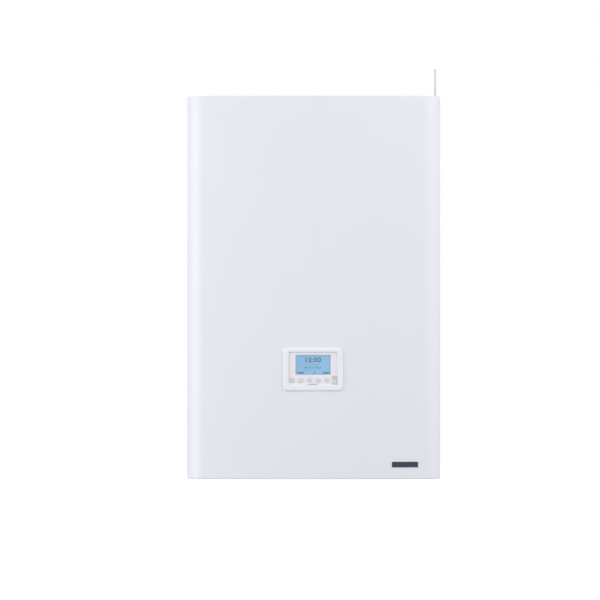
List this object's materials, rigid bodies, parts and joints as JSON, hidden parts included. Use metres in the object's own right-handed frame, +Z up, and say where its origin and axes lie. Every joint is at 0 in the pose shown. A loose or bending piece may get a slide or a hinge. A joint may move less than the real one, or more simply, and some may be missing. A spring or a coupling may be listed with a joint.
{
  "type": "combi boiler",
  "caption": "Wall-hung gas combi boiler with a bowed white cover, a small display panel with keys, a sunk top for the flue, an aerial and valved pipe tails below.",
  "frame": {"origin": "on the wall plane, midway between the two screw holes of the wall bracket", "axes": "+X to the right as seen from the room, +Y into the wall, +Z up; the boiler stands out along -Y"},
  "size_m": [0.52, 0.433, 0.843],
  "materials": {
    "white_enamel": "smooth satin enamel",
    "zinc_sheet": "galvanised sheet",
    "black_steel": "black powder coat",
    "foam_rubber": "closed-cell foam",
    "rubber": "moulded rubber",
    "clip_plastic": "moulded",
    "navy_plate": "smooth",
    "bezel_plastic": "satin moulded",
    "fascia_plastic": "fine grain",
    "key_plastic": "fine grain",
    "rocker_plastic": "fine grain",
    "screen_window": "clear",
    "lcd_blue": "lit display",
    "board_green": "circuit board",
    "box_plastic": "fine grain",
    "aerial_plastic": "satin",
    "flue_metal": "satin",
    "stainless": "rolled stainless",
    "cast_alloy": "cast",
    "burner_steel": "heat-tinted",
    "ceramic_white": "glazed",
    "grey_plastic": "moulded",
    "copper": "drawn tube",
    "brass": "machined",
    "vessel_red": "gloss paint",
    "pump_black": "cast, painted",
    "hose_grey": "smooth",
    "red_plastic": "moulded",
    "blue_plastic": "moulded",
    "yellow_plastic": "moulded",
    "black_plastic": "moulded"
  },
  "bodies": {
    "chassis": {"air_intake": "grey_plastic", "air_vent": "brass", "antenna_base": "aerial_plastic", "back_panel": "zinc_sheet", "bottom_plate": "zinc_sheet", "burner_door": "cast_alloy", "burner_tube": "burner_steel", "casing_seal": "foam_rubber", "condensate_hose": "hose_grey", "condensate_trap": "grey_plastic", "control_box": "box_plastic", "cover_clips": "clip_plastic", "display_bezel": "bezel_plastic", "display_board": "board_green", "display_fascia": "fascia_plastic", "diverter_motor": "black_plastic", "electrode_set": "ceramic_white", "exchanger_coil": "stainless", "exchanger_shell": "stainless", "expansion_vessel": "vessel_red", "fan_housing": "cast_alloy", "fan_motor": "black_steel", "flow_block": "brass", "flow_pipe": "copper", "flue_collar": "flue_metal", "gas_pipe": "copper", "gas_valve": "cast_alloy", "lcd_module": "lcd_blue", "lcd_window": "screen_window", "left_side_panel": "white_enamel", "main_board": "board_green", "pipe_grommets": "rubber", "plate_exchanger": "stainless", "pump_body": "pump_black", "pump_motor": "grey_plastic", "relief_valve": "brass", "return_block": "brass", "return_pipe": "copper", "right_side_panel": "white_enamel", "service_valves": "brass", "top_panel": "zinc_sheet", "wall_bracket": "zinc_sheet"},
    "front_cover": {"front_casing": "white_enamel", "cover_frame": "zinc_sheet", "badge_plate": "navy_plate"},
    "key_1": {"key_1": "key_plastic"},
    "key_2": {"key_2": "key_plastic"},
    "key_3": {"key_3": "key_plastic"},
    "key_4": {"key_4": "key_plastic"},
    "key_5": {"key_5": "key_plastic"},
    "rocker_key": {"rocker_key": "rocker_plastic"},
    "antenna": {"antenna_whip": "aerial_plastic"},
    "fan_rotor": {"fan_impeller": "cast_alloy"},
    "pump_rotor": {"pump_impeller": "stainless"},
    "relief_knob": {"relief_knob": "red_plastic"},
    "filling_knob": {"filling_knob": "black_plastic"},
    "flow_handle": {"flow_handle": "red_plastic"},
    "return_handle": {"return_handle": "blue_plastic"},
    "gas_handle": {"gas_handle": "yellow_plastic"},
    "cold_handle": {"cold_handle": "blue_plastic"}
  },
  "joints": [
    {"name": "cover_pull", "type": "slide", "parent": "chassis", "child": "front_cover", "axis": [0, -1, 0], "range_m": [0, 0.25]},
    {"name": "key_1_press", "type": "slide", "parent": "chassis", "child": "key_1", "axis": [0, 1, 0], "range_m": [0, 0.001], "stiffness_N_per_m": 1500},
    {"name": "key_2_press", "type": "slide", "parent": "chassis", "child": "key_2", "axis": [0, 1, 0], "range_m": [0, 0.001], "stiffness_N_per_m": 1500},
    {"name": "key_3_press", "type": "slide", "parent": "chassis", "child": "key_3", "axis": [0, 1, 0], "range_m": [0, 0.001], "stiffness_N_per_m": 1500},
    {"name": "key_4_press", "type": "slide", "parent": "chassis", "child": "key_4", "axis": [0, 1, 0], "range_m": [0, 0.001], "stiffness_N_per_m": 1500},
    {"name": "key_5_press", "type": "slide", "parent": "chassis", "child": "key_5", "axis": [0, 1, 0], "range_m": [0, 0.001], "stiffness_N_per_m": 1500},
    {"name": "rocker_tip", "type": "hinge", "parent": "chassis", "child": "rocker_key", "pos_m": [0.043, -0.423, -0.5076], "axis": [1, 0, 0], "range_deg": [-4, 4], "stiffness_Nm_per_rad": 0.3},
    {"name": "antenna_fold", "type": "hinge", "parent": "chassis", "child": "antenna", "pos_m": [0.251, -0.338, 0.056], "axis": [0, -1, 0], "range_deg": [-0.3, 85]},
    {"name": "fan_spin", "type": "hinge", "parent": "chassis", "child": "fan_rotor", "pos_m": [0.178, -0.33, -0.15], "axis": [0, -1, 0], "continuous": true},
    {"name": "pump_spin", "type": "hinge", "parent": "chassis", "child": "pump_rotor", "pos_m": [0.115, -0.14, -0.48], "axis": [0, -1, 0], "continuous": true},
    {"name": "relief_lift", "type": "hinge", "parent": "chassis", "child": "relief_knob", "pos_m": [-0.205, -0.17, -0.572], "axis": [0, -1, 0], "range_deg": [0, 90]},
    {"name": "filling_turn", "type": "hinge", "parent": "chassis", "child": "filling_knob", "pos_m": [0.0975, -0.13, -0.655], "axis": [0, 0, 1], "range_deg": [0, 90]},
    {"name": "flow_valve_turn", "type": "hinge", "parent": "chassis", "child": "flow_handle", "pos_m": [-0.13, -0.152, -0.668], "axis": [0, -1, 0], "range_deg": [0, 90]},
    {"name": "return_valve_turn", "type": "hinge", "parent": "chassis", "child": "return_handle", "pos_m": [0.13, -0.152, -0.668], "axis": [0, -1, 0], "range_deg": [0, 90]},
    {"name": "gas_valve_turn", "type": "hinge", "parent": "chassis", "child": "gas_handle", "pos_m": [0, -0.152, -0.668], "axis": [0, -1, 0], "range_deg": [0, 90]},
    {"name": "cold_valve_turn", "type": "hinge", "parent": "chassis", "child": "cold_handle", "pos_m": [0.065, -0.152, -0.668], "axis": [0, -1, 0], "range_deg": [0, 90]}
  ]
}
